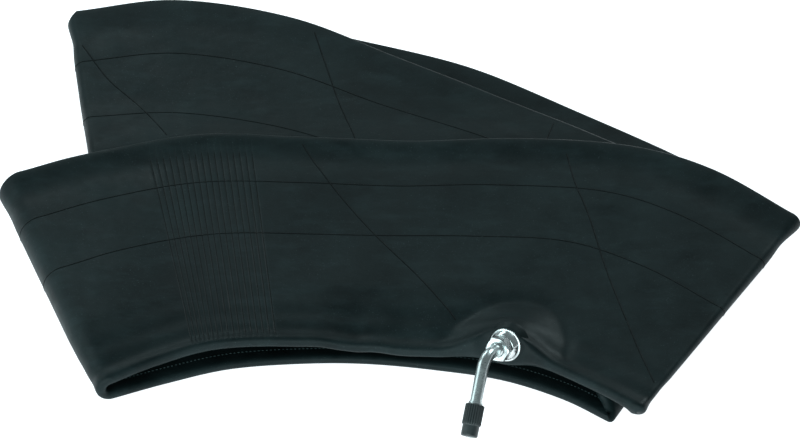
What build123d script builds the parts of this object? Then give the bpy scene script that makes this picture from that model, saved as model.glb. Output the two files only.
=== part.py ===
from build123d import *
import math
import os

# Deflated motorcycle inner tube, pressed flat and folded into four plies, with a bent metal valve.
# Millimetres, +Z up. The tube lies on Z = 0 with its rim side towards -Y and the valve on that side.

# ---- driving dimensions -------------------------------------------------------------------------
# Plan distances from the drawing's zero to the middle of the folded bundle
CENTRE_X = -0.931
CENTRE_Y = 175.653

PLY_PITCH = 6.0  # height from one ply to the next
EDGE_HALF = 2.75  # half thickness of the rounded edges of the flattened tube
WEB_HALF = 2.1  # half thickness between the edges: two walls lying on each other
RIDGE_SHARE = 0.09  # share of the width that a rounded edge takes
LEVEL_BOTTOM = EDGE_HALF
LEVEL_THIRD = LEVEL_BOTTOM + PLY_PITCH
LEVEL_SECOND = LEVEL_THIRD + PLY_PITCH
LEVEL_TOP = LEVEL_SECOND + PLY_PITCH
PLY_STEPS = 16  # sections along a ply
FOLD_STEPS = 6  # sections around a fold

# Edge lines of each ply in plan, in the order the ribbon runs: top ply left to right, second ply
# right to left, third ply left to right, bottom ply right to left. "tread" is the long outer edge,
# "rim" the short inner one.
TOP_TREAD = [
    (-218, 196), (-171, 213), (-114, 227), (-57, 225), (4, 222), (63, 224), (128, 218), (177, 198), (222, 162)
]
TOP_RIM = [(-163, 36), (-137, 48), (-105, 58), (-56, 62), (-17, 61), (20, 58), (60, 55), (95, 34), (132, 8)]
SECOND_TREAD = [
    (222, 162), (177, 196), (129, 224), (90, 251), (53, 275), (-4, 308), (-63, 341), (-129, 356), (-187, 346)
]
SECOND_RIM = [
    (132, 8), (99, 46), (66, 80), (30, 100), (-8, 117), (-48, 133), (-90, 147), (-128, 156), (-166, 158)
]
THIRD_TREAD = [
    (-187, 346), (-130, 350), (-72, 342), (-21, 327), (37, 306), (86, 277), (135, 243), (172, 213), (200, 177)
]
THIRD_RIM = [
    (-166, 158), (-130, 151), (-95, 141), (-58, 128), (-20, 113), (18, 97), (54, 81), (88, 57), (118, 17)
]
BOTTOM_TREAD = [
    (200, 177), (168, 195), (122, 212), (62, 219), (0, 218), (-57, 220), (-112, 223), (-168, 211), (-218, 196)
]
BOTTOM_RIM = [
    (118, 17), (92, 35.5), (58, 51), (19, 59.5), (-20, 64.5), (-57, 64.5), (-97, 60), (-132, 48.5), (-163, 36)
]
# Height of the top ply's rim edge: pinched at the left loop, it arches over the gap beside it,
# sags to the plies below and bridges up to the valve.
TOP_RIM_LEVELS = [14.5, 17.5, 20.0, 17.2, 14.0, 13.5, 20.0, 20.5, LEVEL_TOP]
DROOP_FROM = 0.72  # share of the width at which the top ply starts to fall towards its rim edge
DROOP_CURVE = 1.6
# The two middle plies sink to the ground behind the bottom ply's tread edge, which runs level and
# then curves towards the right-hand fold.
SINK_EDGE = 225.0
SINK_EDGE_CURVE_FROM = 60.0
SINK_EDGE_CURVE = 0.0021
SINK_REACH = 50.0
SINK_DEPTH = PLY_PITCH - 0.2

# Swelling of the tube around the valve base, on the rim edge of the top ply
VALVE_SHARE = 0.75  # where along the top ply the valve stands
SWELL_SPREAD = 0.06  # share of the ply's length
SWELL_UP = 7.5
SWELL_DOWN = 7.0
SWELL_OUT = 4.5
SWELL_ACROSS = 0.1  # share of the width that the lower skin's swelling reaches
SWELL_FOOT = 2.4  # the upper skin's swelling reaches this many times further
SWELL_CURVE = 0.8

# Valve
VALVE_SEAT = Vector(59.35, 50.8, 27.0)  # centre of the washer's seat on the rubber
SPUD_AXIS = Vector(-0.435, -0.80, 0.412).normalized()
TIP_AXIS = Vector(-0.195, -0.734, -0.649).normalized()
PIPE_RADIUS = 3.5
SPUD_RADIUS = 3.95
BORE_RADIUS = 1.6
SPUD_END = 13.4  # end of the threaded spud, from the seat
BEND_CORNER = 27.2  # where the straight axes of spud and tip cross, from the seat
BEND_RADIUS = 12.0
TIP_LENGTH = 42.3  # from that corner to the end of the metal stem

PATCH_RADIUS = 12.5
PATCH_TOP_RADIUS = 10.2
PLATE_RADIUS = 9.0
PLATE_THICKNESS = 1.6
PLATE_DEPTH = 5.6  # seat down to the plate's outer face

WASHER_RADIUS = 9.5
WASHER_CROWN = 4.9
WASHER_FLAT = 6.4  # radius of the flat crown
WASHER_WALL = 1.0
WASHER_RIM = 0.9
WASHER_LIP = 1.2  # width of the rim's foot
WASHER_SHOULDER = (8.3, 3.6)  # a point on the outer curve
WASHER_HOLLOW = (7.4, 2.7)  # a point on the inner curve
THREAD_GAP = 0.06
NUT_FLATS = 13.0
NUT_HEIGHT = 6.4
NUT_BACK = 4.95

THREAD_RADIUS = 3.87  # valve thread, 8 mm nominal
THREAD_LENGTH = 12.0
COLLAR_RADIUS = 4.15
COLLAR_WIDTH = 1.2
COLLAR_GAP = 0.3  # from the collar to the cap's mouth
CHAMBER_RADIUS = 2.65
CHAMBER_DEPTH = 21.0

CAP_LENGTH = 18.5
CAP_ROOF = 2.0
CAP_RADIUS = 4.75
CAP_GRIP_RADIUS = 5.05
CAP_RIBS = 24
CAP_RIB_RADIUS = 0.42
CAP_GRIP_LENGTH = 12.0
CAP_SEAL_THICKNESS = 1.4

CORE_SCREW_LENGTH = 4.6
CORE_SCREW_RADIUS = 2.6
CORE_RECESS = 0.6
SLOT_WIDTH = 1.6
SLOT_DEPTH = 1.2
SLOT_BOSS = 1.1  # radius of the boss around the pin that the slot leaves
BARREL_RADIUS = 2.0
BARREL_LENGTH = 7.4
BARREL_BORE = 1.5
BARREL_FLOOR = 0.8
BARREL_SEAL_WIDTH = 1.6
PIN_RADIUS = 0.6
PIN_GAP = 0.06
PIN_COLLAR_RADIUS = 1.3
PIN_COLLAR = 0.5
PIN_COLLAR_GAP = 0.3  # from the plug down to the pin's collar
PIN_RECESS = 0.4
CUP_RADIUS = 1.9
CUP_HEIGHT = 1.5
CUP_SEAL = 0.6
SPRING_WIRE = 0.16
SPRING_RADIUS = 1.05
SPRING_TURNS = 6
TOUCH_GAP = 0.02

UP = Vector(0, 0, 1)
CENTRE = Vector(CENTRE_X, CENTRE_Y, 0)


# ---- the flattened, folded tube -----------------------------------------------------------------
def through(points, share):
    """Point on a smooth line through evenly counted points; share runs from 0 to 1."""
    place = share * (len(points) - 1)
    i = min(int(place), len(points) - 2)
    u = place - i
    here = points[i]
    ahead = points[i + 1]
    before = points[i - 1] if i > 0 else here * 2 - ahead
    beyond = points[i + 2] if i + 2 < len(points) else ahead * 2 - here
    return (
        here * 2
        + (ahead - before) * u
        + (before * 2 - here * 5 + ahead * 4 - beyond) * u**2
        + (here * 3 - before - ahead * 3 + beyond) * u**3
    ) * 0.5


def plan_line(points):
    return [Vector(x - CENTRE_X, y - CENTRE_Y, 0) for x, y in points]


def half_thickness(share):
    """Half thickness across the width: rounded ridges at both edges, thin between them."""
    inset = min(share, 1 - share)
    ridge = max(0.0, 1 - (inset / RIDGE_SHARE) ** 2)
    return WEB_HALF + (EDGE_HALF - WEB_HALF) * ridge


ACROSS = [0, 0.045, 0.1, 0.2, 0.3, 0.45, 0.72, 0.82, 0.9, 0.955, 1]  # shares of the width
ROUND_ANGLES = [45, 90, 135]


def section(tread, rim, out, shift, first, second, round_rim=EDGE_HALF):
    """Closed outline of the flattened tube between two edge points.

    out is the direction of the ribbon's first side; shift, first and second give the middle height
    and the two half thicknesses at a share of the width.
    """
    across = (rim - tread).normalized()

    def middle(share):
        return tread + (rim - tread) * share + UP * shift(share)

    points = [middle(w) + out * first(w) for w in ACROSS]
    for angle in ROUND_ANGLES:
        lean = math.radians(angle)
        half = first(1) if angle <= 90 else second(1)
        points.append(middle(1) + across * (round_rim * math.sin(lean)) + out * (half * math.cos(lean)))
    points += [middle(w) - out * second(w) for w in reversed(ACROSS)]
    for angle in reversed(ROUND_ANGLES):
        lean = math.radians(angle)
        half = first(0) if angle <= 90 else second(0)
        points.append(middle(0) - across * (EDGE_HALF * math.sin(lean)) + out * (half * math.cos(lean)))
    return Wire.make_polygon(points, close=True)


def level(_share):
    return 0.0


def sinking(tread, rim):
    """Height of the middle plies across the width, below their level on the stack."""

    def shift(share):
        place = tread + (rim - tread) * share + CENTRE
        edge = SINK_EDGE - SINK_EDGE_CURVE * max(0.0, place.X - SINK_EDGE_CURVE_FROM) ** 2
        past = min(1.0, max(0.0, (place.Y - edge) / SINK_REACH))
        return -SINK_DEPTH * past * past * (3 - 2 * past)

    return shift


def middle_ply(treads, rims, height, out):
    """Sections along one of the two middle plies."""
    sections = []
    for step in range(PLY_STEPS + 1):
        share = step / PLY_STEPS
        tread = through(treads, share) + UP * height
        rim = through(rims, share) + UP * height
        sections.append(section(tread, rim, out, sinking(tread, rim), half_thickness, half_thickness))
    return sections


def flat_half(_share):
    return EDGE_HALF


def raised_half(share):
    return 2 * half_thickness(share) - EDGE_HALF


def bottom_ply(treads, rims):
    """The lowest ply, whose underside lies flat on the ground."""
    sections = []
    for step in range(PLY_STEPS + 1):
        share = step / PLY_STEPS
        tread = through(treads, share) + UP * LEVEL_BOTTOM
        rim = through(rims, share) + UP * LEVEL_BOTTOM
        sections.append(section(tread, rim, -UP, level, flat_half, raised_half))
    return sections


def droop(share):
    """How much of the fall of the top ply's rim edge is felt at a share of the width."""
    return max(0.0, (share - DROOP_FROM) / (1 - DROOP_FROM)) ** DROOP_CURVE


def top_ply(treads, rims):
    """The top ply: its rim edge sags between the loop and the valve, and swells at the valve."""
    levels = [Vector(0, 0, z) for z in TOP_RIM_LEVELS]
    stations = [i / PLY_STEPS for i in range(PLY_STEPS + 1)]
    stations += [VALVE_SHARE + offset * SWELL_SPREAD for offset in (-1.5, -0.75, 0.75, 1.5)]
    sections = []
    for share in sorted(set(stations)):
        fall = LEVEL_TOP - through(levels, share).Z
        swell = math.exp(-(((share - VALVE_SHARE) / SWELL_SPREAD) ** 2))

        def shift(w, fall=fall):
            return -fall * droop(w)

        def near(w):
            return max(0.0, 1 - (1 - w) / (SWELL_ACROSS * SWELL_FOOT))

        def upper(w, swell=swell):
            return half_thickness(w) + SWELL_UP * swell * near(w) ** SWELL_CURVE

        def lower(w, swell=swell):
            return half_thickness(w) + SWELL_DOWN * swell * max(0.0, 1 - (1 - w) / SWELL_ACROSS)

        tread = through(treads, share) + UP * LEVEL_TOP
        rim = through(rims, share) + UP * LEVEL_TOP
        sections.append(section(tread, rim, UP, shift, upper, lower, EDGE_HALF + SWELL_OUT * swell))
    return sections


def fold(tread, rim, low, high, outward, downwards, outer_first, shift=level, pinch=0.0):
    """Sections around a fold between two plies, without its two end sections.

    pinch is how far the upper ply's rim edge has fallen where the fold meets it.
    """
    along = (rim - tread).normalized()
    outward = (outward - along * outward.dot(along)).normalized()
    radius = (high - low) / 2
    sections = []
    for step in range(1, FOLD_STEPS):
        turn = math.pi * step / FOLD_STEPS
        if downwards:
            turn = math.pi - turn
        radial = UP * -math.cos(turn) + outward * math.sin(turn)
        lift = UP * ((low + high) / 2) + radial * radius
        out = radial if outer_first else radial * -1

        def lowered(share, rise=(1 - math.cos(turn)) / 2):
            return shift(share) - pinch * rise * droop(share)

        sections.append(section(tread + lift, rim + lift, out, lowered, half_thickness, half_thickness))
    return sections


def tube_ring():
    """The whole flattened tube: four plies and the four folds between them, as one closed ring."""
    top = (plan_line(TOP_TREAD), plan_line(TOP_RIM))
    second = (plan_line(SECOND_TREAD), plan_line(SECOND_RIM))
    third = (plan_line(THIRD_TREAD), plan_line(THIRD_RIM))
    bottom = (plan_line(BOTTOM_TREAD), plan_line(BOTTOM_RIM))
    right = Vector(1, 0, 0)
    left = Vector(-1, 0, 0)
    upper_half = top_ply(*top)
    upper_half += fold(top[0][-1], top[1][-1], LEVEL_SECOND, LEVEL_TOP, right, True, True)
    upper_half += middle_ply(*second, LEVEL_SECOND, -UP)
    lower_half = middle_ply(*second, LEVEL_SECOND, -UP)[-1:]
    hanging = sinking(second[0][-1], second[1][-1])
    lower_half += fold(second[0][-1], second[1][-1], LEVEL_THIRD, LEVEL_SECOND, left, True, False, hanging)
    lower_half += middle_ply(*third, LEVEL_THIRD, UP)
    lower_half += fold(third[0][-1], third[1][-1], LEVEL_BOTTOM, LEVEL_THIRD, right, True, True)
    lower_half += bottom_ply(*bottom)
    pinch = LEVEL_TOP - TOP_RIM_LEVELS[0]
    lower_half += fold(bottom[0][-1], bottom[1][-1], LEVEL_BOTTOM, LEVEL_TOP, left, False, True, pinch=pinch)
    lower_half += top_ply(*top)[:1]
    halves = [Solid.make_loft(half, ruled=True) for half in (upper_half, lower_half)]
    return halves[0].fuse(halves[1])


# ---- frames of the valve -------------------------------------------------------------------------
SEAT = VALVE_SEAT - CENTRE
BEND_ANGLE = SPUD_AXIS.get_angle(TIP_AXIS)
BEND_SIDE = (TIP_AXIS - SPUD_AXIS * TIP_AXIS.dot(SPUD_AXIS)).normalized()
CORNER = SEAT + SPUD_AXIS * BEND_CORNER
TIP = CORNER + TIP_AXIS * TIP_LENGTH
SPUD_FRAME = Plane(origin=SEAT, x_dir=BEND_SIDE, z_dir=SPUD_AXIS).location
TIP_FRAME = Plane(origin=TIP, x_dir=Vector(1, 0, 0), z_dir=TIP_AXIS).location
CAP_MOUTH = CAP_ROOF + CAP_SEAL_THICKNESS + 0.2 - CAP_LENGTH
CORE_TOP = -CORE_RECESS
BARREL_TOP = CORE_TOP - CORE_SCREW_LENGTH
BARREL_BASE = BARREL_TOP - BARREL_LENGTH
CUP_TOP = BARREL_BASE - TOUCH_GAP - CUP_SEAL


def rod(radius, low, high):
    """Cylinder on the frame's Z axis between two heights."""
    return Pos(0, 0, (low + high) / 2) * Cylinder(radius, high - low)


def ring(outer, inner, low, high):
    return rod(outer, low, high) - rod(inner, low - 1, high + 1)


# ---- valve base ---------------------------------------------------------------------------------
def valve_patch():
    """Rubber pad moulded on the tube's rim side, under the washer."""
    pad = Pos(0, 0, -PLATE_DEPTH / 2) * Cone(PATCH_RADIUS, PATCH_TOP_RADIUS, PLATE_DEPTH)
    return SPUD_FRAME * (pad - rod(SPUD_RADIUS, -PLATE_DEPTH - 1, 1))


def base_plate():
    """Metal disc inside the tube that the spud is brazed to."""
    low = -PLATE_DEPTH - PLATE_THICKNESS
    disc = rod(PLATE_RADIUS, low, -PLATE_DEPTH)
    disc = chamfer(disc.edges().group_by(Axis.Z)[0], 0.4)
    return SPUD_FRAME * (disc - rod(BORE_RADIUS, low - 1, 0))


def tube_body():
    """The rubber tube with the pockets for the pad and the base plate."""
    pocket = Pos(0, 0, -PLATE_DEPTH / 2) * Cone(PATCH_RADIUS, PATCH_TOP_RADIUS, PLATE_DEPTH)
    pocket += rod(PLATE_RADIUS, -PLATE_DEPTH - PLATE_THICKNESS, -PLATE_DEPTH)
    pocket += rod(PATCH_TOP_RADIUS, 0, WASHER_CROWN)
    return tube_ring() - SPUD_FRAME * pocket


# ---- valve stem ---------------------------------------------------------------------------------
def stem_line(low):
    """Centre line of the bent stem in the spud's frame, from a height to the tip."""
    turn = math.radians(BEND_ANGLE)
    corner = Vector(0, 0, BEND_CORNER)
    end = corner + Vector(math.sin(turn), 0, math.cos(turn)) * TIP_LENGTH
    return FilletPolyline((0, 0, low), corner, end, radius=BEND_RADIUS)


def valve_stem():
    """Bent metal stem: threaded spud, pipe, collar and valve thread, bored through."""
    line = stem_line(-PLATE_DEPTH)
    start = Plane.XY.offset(-PLATE_DEPTH)
    stem = sweep(start * Circle(PIPE_RADIUS), path=line)
    spud = rod(SPUD_RADIUS, -PLATE_DEPTH, SPUD_END)
    spud = chamfer(spud.edges().group_by(Axis.Z)[-1], 0.4)
    stem = SPUD_FRAME * (stem + spud - sweep(start * Circle(BORE_RADIUS), path=line))
    thread = rod(THREAD_RADIUS, -THREAD_LENGTH, 0)
    thread = chamfer(thread.edges().group_by(Axis.Z)[-1], 0.5)
    collar_top = CAP_MOUTH - COLLAR_GAP
    collar = rod(COLLAR_RADIUS, collar_top - COLLAR_WIDTH, collar_top)
    tip = (thread + collar) - rod(CHAMBER_RADIUS, -CHAMBER_DEPTH, 1)
    stem += TIP_FRAME * tip
    return stem - TIP_FRAME * rod(CHAMBER_RADIUS, -CHAMBER_DEPTH, 1)


# ---- washer and nut that hold the valve to the rim ----------------------------------------------
def rim_washer():
    """Dished washer with a rolled rim, crown towards the nut."""
    bore = SPUD_RADIUS + THREAD_GAP
    top = WASHER_CROWN
    under = WASHER_CROWN - WASHER_WALL
    lip = WASHER_RADIUS - WASHER_LIP
    with BuildPart() as washer:
        with BuildSketch(Plane.XZ):
            with BuildLine():
                Polyline((lip, 0), (WASHER_RADIUS, 0), (WASHER_RADIUS, WASHER_RIM))
                ThreePointArc((WASHER_RADIUS, WASHER_RIM), WASHER_SHOULDER, (WASHER_FLAT, top))
                Polyline((WASHER_FLAT, top), (bore, top), (bore, under), (WASHER_FLAT - 0.6, under))
                ThreePointArc((WASHER_FLAT - 0.6, under), WASHER_HOLLOW, (lip, 0))
            make_face()
        revolve(axis=Axis.Z)
    return SPUD_FRAME * washer.part


def rim_nut():
    """Hexagon nut on the spud, its corners turned down at both faces."""
    hexagon = RegularPolygon(NUT_FLATS / 2, 6, major_radius=False)
    body = extrude(Pos(0, 0, NUT_BACK) * hexagon, NUT_HEIGHT)
    reach = NUT_FLATS / math.sqrt(3)
    turned = chamfer(rod(reach, NUT_BACK, NUT_BACK + NUT_HEIGHT).edges().filter_by(GeomType.CIRCLE), 0.7)
    body = body & turned
    return SPUD_FRAME * (body - rod(SPUD_RADIUS + THREAD_GAP, NUT_BACK - 1, NUT_BACK + NUT_HEIGHT + 1))


# ---- valve cap ----------------------------------------------------------------------------------
def valve_cap():
    """Screw cap: ribbed grip over its open end, plain closed end."""
    ribbed = Circle(CAP_GRIP_RADIUS) + PolarLocations(CAP_GRIP_RADIUS, CAP_RIBS) * Circle(CAP_RIB_RADIUS)
    grip = extrude(Pos(0, 0, CAP_MOUTH) * ribbed, CAP_GRIP_LENGTH)
    end = CAP_MOUTH + CAP_LENGTH
    plain = chamfer(rod(CAP_RADIUS, CAP_MOUTH, end).edges().group_by(Axis.Z)[-1], 0.7)
    return TIP_FRAME * (grip + plain - rod(THREAD_RADIUS + THREAD_GAP, CAP_MOUTH - 1, end - CAP_ROOF))


def cap_seal():
    """Rubber disc in the cap's roof."""
    top = CAP_MOUTH + CAP_LENGTH - CAP_ROOF - 0.05
    return TIP_FRAME * rod(THREAD_RADIUS - 0.1, top - CAP_SEAL_THICKNESS, top)


# ---- valve core ---------------------------------------------------------------------------------
def core_housing():
    """Threaded plug at the top of the core, slotted for the key."""
    plug = ring(CORE_SCREW_RADIUS, PIN_RADIUS + PIN_GAP, BARREL_TOP, CORE_TOP)
    slot = Pos(0, 0, CORE_TOP) * Box(3 * CORE_SCREW_RADIUS, SLOT_WIDTH, 2 * SLOT_DEPTH)
    return TIP_FRAME * (plug - (slot - rod(SLOT_BOSS, BARREL_TOP, CORE_TOP + SLOT_DEPTH)))


def core_barrel():
    """Sleeve below the plug; its floor holds the spring and its lower rim is the valve's seat."""
    sleeve = ring(BARREL_RADIUS, BARREL_BORE, BARREL_BASE, BARREL_TOP)
    floor = ring(BARREL_BORE + 0.1, PIN_RADIUS + 0.25, BARREL_BASE, BARREL_BASE + BARREL_FLOOR)
    return TIP_FRAME * (sleeve + floor)


def core_barrel_seal():
    """Sealing ring around the sleeve."""
    middle = BARREL_TOP - 0.45 * BARREL_LENGTH
    return TIP_FRAME * ring(
        CHAMBER_RADIUS, BARREL_RADIUS, middle - BARREL_SEAL_WIDTH / 2, middle + BARREL_SEAL_WIDTH / 2
    )


def core_pin():
    """Pin through the core with the collar that the spring pushes."""
    collar_top = BARREL_TOP - PIN_COLLAR_GAP
    pin = rod(PIN_RADIUS, CUP_TOP - CUP_HEIGHT, -PIN_RECESS)
    return TIP_FRAME * (pin + rod(PIN_COLLAR_RADIUS, collar_top - PIN_COLLAR, collar_top))


def core_spring():
    """Spring between the sleeve's floor and the pin's collar."""
    low = BARREL_BASE + BARREL_FLOOR + SPRING_WIRE + TOUCH_GAP
    high = BARREL_TOP - PIN_COLLAR_GAP - PIN_COLLAR - SPRING_WIRE - TOUCH_GAP
    line = Helix((high - low) / SPRING_TURNS, high - low, SPRING_RADIUS)
    wire = Plane(origin=line @ 0, z_dir=line % 0) * Circle(SPRING_WIRE)
    return TIP_FRAME * (Pos(0, 0, low) * sweep(wire, path=line))


def core_cup():
    """Cup on the pin's lower end."""
    return TIP_FRAME * ring(CUP_RADIUS, PIN_RADIUS, CUP_TOP - CUP_HEIGHT, CUP_TOP)


def core_cup_seal():
    """Sealing ring that the cup presses on the sleeve."""
    return TIP_FRAME * ring(CUP_RADIUS, PIN_RADIUS, CUP_TOP, CUP_TOP + CUP_SEAL)


NODES = [
    tube_body,
    valve_patch,
    base_plate,
    valve_stem,
    rim_washer,
    rim_nut,
    valve_cap,
    cap_seal,
    core_housing,
    core_barrel,
    core_barrel_seal,
    core_pin,
    core_spring,
    core_cup,
    core_cup_seal,
]

os.makedirs("parts", exist_ok=True)
built = {}
for make in NODES:
    built[make.__name__] = make()
    export_step(built[make.__name__], f"parts/{make.__name__}.step")
everything = Compound(children=list(built.values())).bounding_box()
print("size", everything.size, "middle", everything.center(), "lowest", everything.min.Z)
print("seat", SEAT, "corner", CORNER, "tip", TIP, "bend", BEND_ANGLE)
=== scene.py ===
import math
import bmesh
import bpy
import numpy as np
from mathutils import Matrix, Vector


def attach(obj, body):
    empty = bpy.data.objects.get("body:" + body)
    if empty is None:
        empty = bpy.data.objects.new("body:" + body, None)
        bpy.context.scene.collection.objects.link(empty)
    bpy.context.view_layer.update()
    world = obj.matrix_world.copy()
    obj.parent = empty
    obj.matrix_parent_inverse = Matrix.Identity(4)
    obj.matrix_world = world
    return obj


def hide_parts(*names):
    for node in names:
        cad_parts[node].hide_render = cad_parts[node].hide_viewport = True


# A deflated motorcycle inner tube, folded flat into four plies, with a bent metal valve.
# The shapes are worked out in millimetres, in the drawing's own frame. to_frame() moves them into
# the shared frame's metres, whose zero is the drawing's point CENTRE.
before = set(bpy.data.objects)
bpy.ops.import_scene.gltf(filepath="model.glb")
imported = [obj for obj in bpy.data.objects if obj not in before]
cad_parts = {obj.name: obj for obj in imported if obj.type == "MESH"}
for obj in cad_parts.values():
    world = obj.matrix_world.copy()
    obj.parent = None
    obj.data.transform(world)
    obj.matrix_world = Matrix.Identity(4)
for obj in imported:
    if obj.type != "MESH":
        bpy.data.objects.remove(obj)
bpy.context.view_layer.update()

CENTRE = np.array([-0.931, 175.653, 0.0])
MM = 0.001
UP = np.array([0.0, 0.0, 1.0])

# ---- the folded tube -----------------------------------------------------------------------------
# The driving sizes are the CAD's, but the edge lines differ from it near the folds, where they
# follow the object's outline, and the swelling around the valve is higher.
PLY_PITCH = 6.0
EDGE_HALF = 2.75
WEB_HALF = 2.1
LEVELS = [EDGE_HALF + PLY_PITCH * i for i in range(4)]  # bottom, third, second, top ply
WIDTH = 172.0  # usual distance between the two edge lines

TOP_TREAD = [
    (-218, 196), (-171, 213), (-114, 227), (-57, 225), (4, 222),
    (63, 224), (128, 218), (177, 198), (222, 162),
]
TOP_RIM = [
    (-163, 36), (-137, 48), (-105, 58), (-56, 62), (-17, 61),
    (20, 58), (60, 55), (95, 34), (133.5, 6),
]
SECOND_TREAD = [
    (222, 162), (177, 196), (129, 224), (90, 251), (53, 275),
    (-4, 308), (-63, 341), (-129, 356), (-187, 346.5),
]
SECOND_RIM = [
    (131, 11.5), (101, 50), (66, 80), (30, 100), (-8, 117),
    (-48, 133), (-90, 147), (-128, 156), (-166, 158),
]
THIRD_TREAD = [
    (-187, 346.5), (-130, 350), (-72, 342), (-21, 327), (37, 306),
    (86, 277), (135, 243), (172, 213), (200, 177),
]
THIRD_RIM = [
    (-166, 158), (-130, 151), (-95, 141), (-58, 128), (-20, 113),
    (18, 98), (55, 83), (97, 66), (114, 29),
]
BOTTOM_TREAD = [
    (200, 177), (168, 195), (122, 212), (62, 219), (0, 218),
    (-57, 220), (-112, 223), (-168, 211), (-218, 196),
]
BOTTOM_RIM = [
    (118, 17), (92, 35.5), (58, 51), (19, 59.5), (-20, 64.5),
    (-57, 64.5), (-97, 60), (-132, 48.5), (-163, 36),
]
# Heights of the top ply's rim edge along the ply. It droops to them over the last part of its width.
TOP_RIM_LEVELS = [14.5, 17.5, 20.0, 17.2, 14.0, 13.5, 20.0, 20.5, LEVELS[3]]
DROOP_FROM = 0.72
DROOP_CURVE = 1.6

# Behind the bottom ply's tread edge the two middle plies sink towards the ground
SINK_EDGE = 225.0
SINK_EDGE_CURVE_FROM = 60.0
SINK_EDGE_CURVE = 0.0021
SINK_REACH = 50.0
SINK_DEPTH = PLY_PITCH - 0.2

# The swelling around the valve's base: a dome on the upper skin, a bulge on the lower one
VALVE_SHARE = 0.75
SWELL_SPREAD = 0.06
SWELL_UP = 9.0
SWELL_DOWN = 7.0
SWELL_OUT = 4.5
SWELL_ACROSS = 0.1
DOME_LEFT = 0.12  # reach of the dome along the ply and across it, as shares
DOME_RIGHT = 0.103
DOME_ACROSS = 0.22
DOME_CURVE = 1.8
DOME_RIM_VALLEY = 1.2  # depth of the hollow that rings the dome
DOME_RIM_WIDTH = 0.15
DOME_RIM_FADE = 0.06  # the hollow fades out this near the rim edge

# Rounded edges: the upper skin of the top ply stands a little higher, with a hollow behind it
EDGE_WIDTH = 7.5
VALLEY_INSET = 18.0
VALLEY_WIDTH = 8.5
TOP_EDGE_RISE = 1.1
TOP_VALLEY = 0.95
PLAIN_VALLEY = 0.75
UNDER_VALLEY = 0.2  # the hollow in the top ply's lower skin
RIM_RIPPLE = 0.8  # ripples that run along the top ply's rim edge
RIM_RIPPLE_PITCH = 15.0
RIM_RIPPLE_REACH = 13.0
CONTACT_SHARE = 0.08  # plies press on each other this far from a fold
CONTACT_SQUARE = 0.85  # and their rounded edges meet there as one wall
CONTACT_FROM = 0.93  # the share across at which that contact begins
CONTACT_BLEND = 0.05
CONTACT_GAP = 0.01
LEFT_CORNER = 2.5  # how far the folds' tread ends are drawn in
BACK_CORNER = 5.0
CORNER_CURVE = 8

# Slow unevenness of the top ply: height, rate along, rate across and phase of each wave
WAVE_MEAN = 0.9
SLOW_WAVES = ((0.55, 9.0, 3.0, 0.0), (0.35, 17.0, -5.0, 1.3), (0.25, 31.0, 9.0, 0.4))
WAVE_HEIGHT = 0.55
WAVE_START = 0.08  # the waves grow and end over these shares of the length
WAVE_END = 0.05
LUMP_HEIGHT = 0.8  # lumps along the rim edge, about the middle of the ply
LUMP_RATE = 52.0
LUMP_PHASE = 0.6
LUMP_AT = 0.47
LUMP_SPREAD = 0.12
LUMP_FROM = 0.8
LUMP_FADE = 0.16
LUMP_LOWEST = -0.4

# The band of fine cross ribs on the top ply, as shares along its tread edge and its rim edge
RIB_BAND_TREAD = (0.184, 0.312)
RIB_BAND_RIM = (0.210, 0.339)
RIB_WARP_END = 0.6  # beyond this share the two edges are counted alike
RIBS = 17
RIB_DEPTH = 0.4
RIB_SHARPNESS = 5
RIB_TREAD_FADE = 0.05
RIB_RIM_FADE = 0.008
RIB_TREAD_DEPTH = 0.5  # share of the depth that is left near the tread edge
RIB_DEEPEN_FROM = 0.25
RIB_DEEPEN_OVER = 0.4
RIB_LINE_WIDTH = 1.0  # the line of painted shade at the bottom of each groove
RIB_LINE_HEIGHT = 0.24
RIB_LINE_ENDS = (0.04, 0.995)

# Moulded lines on the tube: along it, at shares of the width counted from the tread edge, and
# askew, as (shares along, shares across)
LINE_SHARES = (0.22, 0.48)
LINE_HEIGHT = 0.34
LINE_WIDTH = 0.9
TOP_SKEW_LINES = (
    ((0.375, 0.42, 0.482, 0.562, 0.645), (0.02, 0.27, 0.5, 0.7, 0.88)),
    ((0.69, 0.73, 0.815, 0.93, 1.0), (0.05, 0.25, 0.52, 0.765, 0.89)),
)
SECOND_SKEW_LINES = (
    ((1.0, 0.97, 0.927, 0.888), (0.14, 0.31, 0.45, 0.6)),
    ((0.722, 0.678, 0.635, 0.602), (0.02, 0.24, 0.42, 0.55)),
    ((0.378, 0.375, 0.37), (0.02, 0.08, 0.16)),
)
BOTTOM_SKEW_LINES = (((0.665, 0.655, 0.645), (0.93, 0.965, 0.995)),)
SEAM_SHARE = 0.957  # the mould's stitched seam beside the bottom ply's rim edge
SEAM_STITCH = 2.3
SEAM_HEIGHT = 0.4
SEAM_WIDTH = 0.8
SEAM_ENDS = (0.02, 0.97)
SEAM_POINTS = 1500
SEAM_MEAN = 0.5  # the stitches' mean height and swing, as shares
SEAM_SWING = 0.6
BEAD_SINK = 0.12  # how deep a moulded line is set into the rubber
BEAD_TAPER = 4  # points over which its ends rise
SKEW_POINTS = 220

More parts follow.
